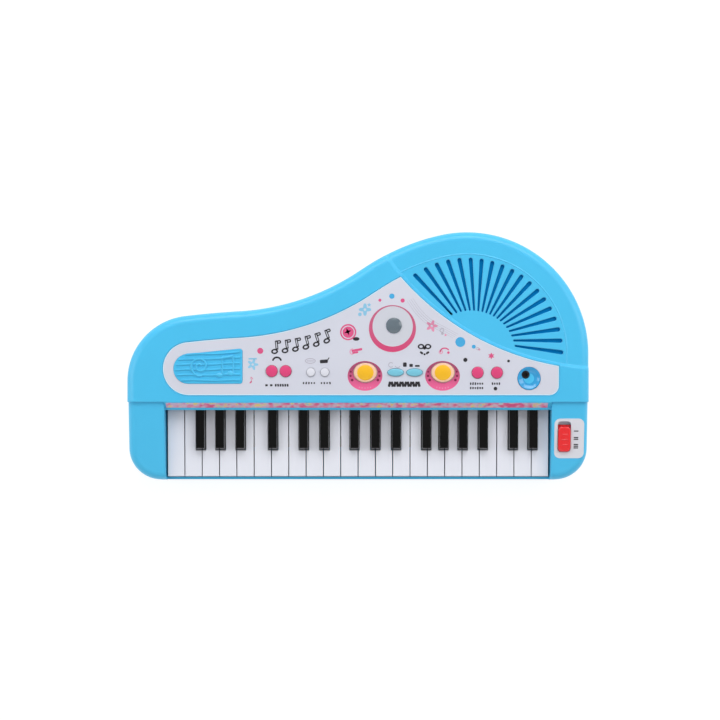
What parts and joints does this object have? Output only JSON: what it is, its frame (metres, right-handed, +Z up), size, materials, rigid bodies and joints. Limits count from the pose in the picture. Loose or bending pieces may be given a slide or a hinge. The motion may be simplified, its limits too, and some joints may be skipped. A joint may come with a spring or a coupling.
{
  "type": "toy electronic keyboard",
  "caption": "Small toy electronic keyboard in a grand piano outline, with sprung piano keys, press buttons, drum pads, slotted loudspeaker grille and battery compartment.",
  "frame": {"origin": "middle of the footprint, on the plane that the rubber feet stand on", "axes": "+X to the player's right along the keys, +Y away from the player towards the grille side, +Z up through the deck"},
  "size_m": [0.4, 0.216, 0.051],
  "materials": {
    "shell": "glossy light blue ABS",
    "panel": "printed lavender-white sheet and white buttons",
    "white_key": "satin white ABS",
    "black_key": "glossy black ABS",
    "pink": "glossy pink ABS",
    "pale_blue": "glossy pale blue ABS",
    "yellow": "glossy yellow pad with a cream rim",
    "red": "glossy red ABS",
    "lens": "smoked grey translucent lens",
    "black_plastic": "black moulded socket",
    "foot": "matte black rubber",
    "silicone": "soft grey silicone",
    "board": "green circuit board",
    "speaker": "black steel basket and paper cone",
    "steel": "zinc plated steel",
    "battery": "printed green sleeve"
  },
  "bodies": {
    "casing": {"bottom_shell": "shell", "top_shell": "shell", "control_panel": "panel", "contact_strips": "silicone", "circuit_boards": "board", "speaker": "speaker", "screws": "steel", "feet": "foot", "batteries": "battery", "mic_jack": "black_plastic", "light_lens": "lens"},
    "battery_door": {"battery_door": "shell"},
    "power_knob": {"power_knob": "red"},
    "pink_button_1": {"pink_button_1": "pink"},
    "pink_button_2": {"pink_button_2": "pink"},
    "pink_button_3": {"pink_button_3": "pink"},
    "pink_button_4": {"pink_button_4": "pink"},
    "white_button_1": {"white_button_1": "panel"},
    "white_button_2": {"white_button_2": "panel"},
    "oval_button_1": {"oval_button_1": "pale_blue"},
    "oval_button_2": {"oval_button_2": "pale_blue"},
    "drum_pad_1": {"drum_pad_1": "yellow"},
    "drum_pad_2": {"drum_pad_2": "yellow"},
    "white_key_01": {"white_key_01": "white_key"},
    "white_key_02": {"white_key_02": "white_key"},
    "white_key_03": {"white_key_03": "white_key"},
    "white_key_04": {"white_key_04": "white_key"},
    "white_key_05": {"white_key_05": "white_key"},
    "white_key_06": {"white_key_06": "white_key"},
    "white_key_07": {"white_key_07": "white_key"},
    "white_key_08": {"white_key_08": "white_key"},
    "white_key_09": {"white_key_09": "white_key"},
    "white_key_10": {"white_key_10": "white_key"},
    "white_key_11": {"white_key_11": "white_key"},
    "white_key_12": {"white_key_12": "white_key"},
    "white_key_13": {"white_key_13": "white_key"},
    "white_key_14": {"white_key_14": "white_key"},
    "white_key_15": {"white_key_15": "white_key"},
    "white_key_16": {"white_key_16": "white_key"},
    "white_key_17": {"white_key_17": "white_key"},
    "white_key_18": {"white_key_18": "white_key"},
    "white_key_19": {"white_key_19": "white_key"},
    "white_key_20": {"white_key_20": "white_key"},
    "white_key_21": {"white_key_21": "white_key"},
    "white_key_22": {"white_key_22": "white_key"},
    "black_key_01": {"black_key_01": "black_key"},
    "black_key_02": {"black_key_02": "black_key"},
    "black_key_03": {"black_key_03": "black_key"},
    "black_key_04": {"black_key_04": "black_key"},
    "black_key_05": {"black_key_05": "black_key"},
    "black_key_06": {"black_key_06": "black_key"},
    "black_key_07": {"black_key_07": "black_key"},
    "black_key_08": {"black_key_08": "black_key"},
    "black_key_09": {"black_key_09": "black_key"},
    "black_key_10": {"black_key_10": "black_key"},
    "black_key_11": {"black_key_11": "black_key"},
    "black_key_12": {"black_key_12": "black_key"},
    "black_key_13": {"black_key_13": "black_key"},
    "black_key_14": {"black_key_14": "black_key"},
    "black_key_15": {"black_key_15": "black_key"}
  },
  "joints": [
    {"name": "pink_button_1_press", "type": "slide", "parent": "casing", "child": "pink_button_1", "axis": [0, 0, -1], "range_m": [0, 0.0015], "stiffness_N_per_m": 700, "springref_m": -0.0005, "deforming": ["contact_strips"]},
    {"name": "pink_button_2_press", "type": "slide", "parent": "casing", "child": "pink_button_2", "axis": [0, 0, -1], "range_m": [0, 0.0015], "stiffness_N_per_m": 700, "springref_m": -0.0005},
    {"name": "pink_button_3_press", "type": "slide", "parent": "casing", "child": "pink_button_3", "axis": [0, 0, -1], "range_m": [0, 0.0015], "stiffness_N_per_m": 700, "springref_m": -0.0005},
    {"name": "pink_button_4_press", "type": "slide", "parent": "casing", "child": "pink_button_4", "axis": [0, 0, -1], "range_m": [0, 0.0015], "stiffness_N_per_m": 700, "springref_m": -0.0005},
    {"name": "white_button_1_press", "type": "slide", "parent": "casing", "child": "white_button_1", "axis": [0, 0, -1], "range_m": [0, 0.0015], "stiffness_N_per_m": 700, "springref_m": -0.0005},
    {"name": "white_button_2_press", "type": "slide", "parent": "casing", "child": "white_button_2", "axis": [0, 0, -1], "range_m": [0, 0.0015], "stiffness_N_per_m": 700, "springref_m": -0.0005},
    {"name": "oval_button_1_press", "type": "slide", "parent": "casing", "child": "oval_button_1", "axis": [0, 0, -1], "range_m": [0, 0.0015], "stiffness_N_per_m": 700, "springref_m": -0.0005},
    {"name": "oval_button_2_press", "type": "slide", "parent": "casing", "child": "oval_button_2", "axis": [0, 0, -1], "range_m": [0, 0.0015], "stiffness_N_per_m": 700, "springref_m": -0.0005},
    {"name": "drum_pad_1_press", "type": "slide", "parent": "casing", "child": "drum_pad_1", "axis": [0, 0, -1], "range_m": [0, 0.0015], "stiffness_N_per_m": 700, "springref_m": -0.0005},
    {"name": "drum_pad_2_press", "type": "slide", "parent": "casing", "child": "drum_pad_2", "axis": [0, 0, -1], "range_m": [0, 0.0015], "stiffness_N_per_m": 700, "springref_m": -0.0005},
    {"name": "power_knob_slide", "type": "slide", "parent": "casing", "child": "power_knob", "axis": [0, 0.9903, 0.1392], "range_m": [0, 0.004]},
    {"name": "battery_door_off", "type": "slide", "parent": "casing", "child": "battery_door", "axis": [0, 0, -1], "range_m": [0, 0.03]},
    {"name": "white_key_01_press", "type": "hinge", "parent": "casing", "child": "white_key_01", "pos_m": [0, -0.022, 0.026], "axis": [1, 0, 0], "range_deg": [0, 3], "stiffness_Nm_per_rad": 0.3, "springref_deg": -3.44},
    {"name": "white_key_02_press", "type": "hinge", "parent": "casing", "child": "white_key_02", "pos_m": [0, -0.022, 0.026], "axis": [1, 0, 0], "range_deg": [0, 3], "stiffness_Nm_per_rad": 0.3, "springref_deg": -3.44},
    {"name": "white_key_03_press", "type": "hinge", "parent": "casing", "child": "white_key_03", "pos_m": [0, -0.022, 0.026], "axis": [1, 0, 0], "range_deg": [0, 3], "stiffness_Nm_per_rad": 0.3, "springref_deg": -3.44},
    {"name": "white_key_04_press", "type": "hinge", "parent": "casing", "child": "white_key_04", "pos_m": [0, -0.022, 0.026], "axis": [1, 0, 0], "range_deg": [0, 3], "stiffness_Nm_per_rad": 0.3, "springref_deg": -3.44},
    {"name": "white_key_05_press", "type": "hinge", "parent": "casing", "child": "white_key_05", "pos_m": [0, -0.022, 0.026], "axis": [1, 0, 0], "range_deg": [0, 3], "stiffness_Nm_per_rad": 0.3, "springref_deg": -3.44},
    {"name": "white_key_06_press", "type": "hinge", "parent": "casing", "child": "white_key_06", "pos_m": [0, -0.022, 0.026], "axis": [1, 0, 0], "range_deg": [0, 3], "stiffness_Nm_per_rad": 0.3, "springref_deg": -3.44},
    {"name": "white_key_07_press", "type": "hinge", "parent": "casing", "child": "white_key_07", "pos_m": [0, -0.022, 0.026], "axis": [1, 0, 0], "range_deg": [0, 3], "stiffness_Nm_per_rad": 0.3, "springref_deg": -3.44},
    {"name": "white_key_08_press", "type": "hinge", "parent": "casing", "child": "white_key_08", "pos_m": [0, -0.022, 0.026], "axis": [1, 0, 0], "range_deg": [0, 3], "stiffness_Nm_per_rad": 0.3, "springref_deg": -3.44},
    {"name": "white_key_09_press", "type": "hinge", "parent": "casing", "child": "white_key_09", "pos_m": [0, -0.022, 0.026], "axis": [1, 0, 0], "range_deg": [0, 3], "stiffness_Nm_per_rad": 0.3, "springref_deg": -3.44},
    {"name": "white_key_10_press", "type": "hinge", "parent": "casing", "child": "white_key_10", "pos_m": [0, -0.022, 0.026], "axis": [1, 0, 0], "range_deg": [0, 3], "stiffness_Nm_per_rad": 0.3, "springref_deg": -3.44},
    {"name": "white_key_11_press", "type": "hinge", "parent": "casing", "child": "white_key_11", "pos_m": [0, -0.022, 0.026], "axis": [1, 0, 0], "range_deg": [0, 3], "stiffness_Nm_per_rad": 0.3, "springref_deg": -3.44},
    {"name": "white_key_12_press", "type": "hinge", "parent": "casing", "child": "white_key_12", "pos_m": [0, -0.022, 0.026], "axis": [1, 0, 0], "range_deg": [0, 3], "stiffness_Nm_per_rad": 0.3, "springref_deg": -3.44},
    {"name": "white_key_13_press", "type": "hinge", "parent": "casing", "child": "white_key_13", "pos_m": [0, -0.022, 0.026], "axis": [1, 0, 0], "range_deg": [0, 3], "stiffness_Nm_per_rad": 0.3, "springref_deg": -3.44},
    {"name": "white_key_14_press", "type": "hinge", "parent": "casing", "child": "white_key_14", "pos_m": [0, -0.022, 0.026], "axis": [1, 0, 0], "range_deg": [0, 3], "stiffness_Nm_per_rad": 0.3, "springref_deg": -3.44},
    {"name": "white_key_15_press", "type": "hinge", "parent": "casing", "child": "white_key_15", "pos_m": [0, -0.022, 0.026], "axis": [1, 0, 0], "range_deg": [0, 3], "stiffness_Nm_per_rad": 0.3, "springref_deg": -3.44},
    {"name": "white_key_16_press", "type": "hinge", "parent": "casing", "child": "white_key_16", "pos_m": [0, -0.022, 0.026], "axis": [1, 0, 0], "range_deg": [0, 3], "stiffness_Nm_per_rad": 0.3, "springref_deg": -3.44},
    {"name": "white_key_17_press", "type": "hinge", "parent": "casing", "child": "white_key_17", "pos_m": [0, -0.022, 0.026], "axis": [1, 0, 0], "range_deg": [0, 3], "stiffness_Nm_per_rad": 0.3, "springref_deg": -3.44},
    {"name": "white_key_18_press", "type": "hinge", "parent": "casing", "child": "white_key_18", "pos_m": [0, -0.022, 0.026], "axis": [1, 0, 0], "range_deg": [0, 3], "stiffness_Nm_per_rad": 0.3, "springref_deg": -3.44},
    {"name": "white_key_19_press", "type": "hinge", "parent": "casing", "child": "white_key_19", "pos_m": [0, -0.022, 0.026], "axis": [1, 0, 0], "range_deg": [0, 3], "stiffness_Nm_per_rad": 0.3, "springref_deg": -3.44},
    {"name": "white_key_20_press", "type": "hinge", "parent": "casing", "child": "white_key_20", "pos_m": [0, -0.022, 0.026], "axis": [1, 0, 0], "range_deg": [0, 3], "stiffness_Nm_per_rad": 0.3, "springref_deg": -3.44},
    {"name": "white_key_21_press", "type": "hinge", "parent": "casing", "child": "white_key_21", "pos_m": [0, -0.022, 0.026], "axis": [1, 0, 0], "range_deg": [0, 3], "stiffness_Nm_per_rad": 0.3, "springref_deg": -3.44},
    {"name": "white_key_22_press", "type": "hinge", "parent": "casing", "child": "white_key_22", "pos_m": [0, -0.022, 0.026], "axis": [1, 0, 0], "range_deg": [0, 3], "stiffness_Nm_per_rad": 0.3, "springref_deg": -3.44},
    {"name": "black_key_01_press", "type": "hinge", "parent": "casing", "child": "black_key_01", "pos_m": [0, -0.022, 0.026], "axis": [1, 0, 0], "range_deg": [0, 3], "stiffness_Nm_per_rad": 0.3, "springref_deg": -3.44},
    {"name": "black_key_02_press", "type": "hinge", "parent": "casing", "child": "black_key_02", "pos_m": [0, -0.022, 0.026], "axis": [1, 0, 0], "range_deg": [0, 3], "stiffness_Nm_per_rad": 0.3, "springref_deg": -3.44},
    {"name": "black_key_03_press", "type": "hinge", "parent": "casing", "child": "black_key_03", "pos_m": [0, -0.022, 0.026], "axis": [1, 0, 0], "range_deg": [0, 3], "stiffness_Nm_per_rad": 0.3, "springref_deg": -3.44},
    {"name": "black_key_04_press", "type": "hinge", "parent": "casing", "child": "black_key_04", "pos_m": [0, -0.022, 0.026], "axis": [1, 0, 0], "range_deg": [0, 3], "stiffness_Nm_per_rad": 0.3, "springref_deg": -3.44},
    {"name": "black_key_05_press", "type": "hinge", "parent": "casing", "child": "black_key_05", "pos_m": [0, -0.022, 0.026], "axis": [1, 0, 0], "range_deg": [0, 3], "stiffness_Nm_per_rad": 0.3, "springref_deg": -3.44},
    {"name": "black_key_06_press", "type": "hinge", "parent": "casing", "child": "black_key_06", "pos_m": [0, -0.022, 0.026], "axis": [1, 0, 0], "range_deg": [0, 3], "stiffness_Nm_per_rad": 0.3, "springref_deg": -3.44},
    {"name": "black_key_07_press", "type": "hinge", "parent": "casing", "child": "black_key_07", "pos_m": [0, -0.022, 0.026], "axis": [1, 0, 0], "range_deg": [0, 3], "stiffness_Nm_per_rad": 0.3, "springref_deg": -3.44},
    {"name": "black_key_08_press", "type": "hinge", "parent": "casing", "child": "black_key_08", "pos_m": [0, -0.022, 0.026], "axis": [1, 0, 0], "range_deg": [0, 3], "stiffness_Nm_per_rad": 0.3, "springref_deg": -3.44},
    {"name": "black_key_09_press", "type": "hinge", "parent": "casing", "child": "black_key_09", "pos_m": [0, -0.022, 0.026], "axis": [1, 0, 0], "range_deg": [0, 3], "stiffness_Nm_per_rad": 0.3, "springref_deg": -3.44},
    {"name": "black_key_10_press", "type": "hinge", "parent": "casing", "child": "black_key_10", "pos_m": [0, -0.022, 0.026], "axis": [1, 0, 0], "range_deg": [0, 3], "stiffness_Nm_per_rad": 0.3, "springref_deg": -3.44},
    {"name": "black_key_11_press", "type": "hinge", "parent": "casing", "child": "black_key_11", "pos_m": [0, -0.022, 0.026], "axis": [1, 0, 0], "range_deg": [0, 3], "stiffness_Nm_per_rad": 0.3, "springref_deg": -3.44},
    {"name": "black_key_12_press", "type": "hinge", "parent": "casing", "child": "black_key_12", "pos_m": [0, -0.022, 0.026], "axis": [1, 0, 0], "range_deg": [0, 3], "stiffness_Nm_per_rad": 0.3, "springref_deg": -3.44},
    {"name": "black_key_13_press", "type": "hinge", "parent": "casing", "child": "black_key_13", "pos_m": [0, -0.022, 0.026], "axis": [1, 0, 0], "range_deg": [0, 3], "stiffness_Nm_per_rad": 0.3, "springref_deg": -3.44},
    {"name": "black_key_14_press", "type": "hinge", "parent": "casing", "child": "black_key_14", "pos_m": [0, -0.022, 0.026], "axis": [1, 0, 0], "range_deg": [0, 3], "stiffness_Nm_per_rad": 0.3, "springref_deg": -3.44},
    {"name": "black_key_15_press", "type": "hinge", "parent": "casing", "child": "black_key_15", "pos_m": [0, -0.022, 0.026], "axis": [1, 0, 0], "range_deg": [0, 3], "stiffness_Nm_per_rad": 0.3, "springref_deg": -3.44}
  ]
}
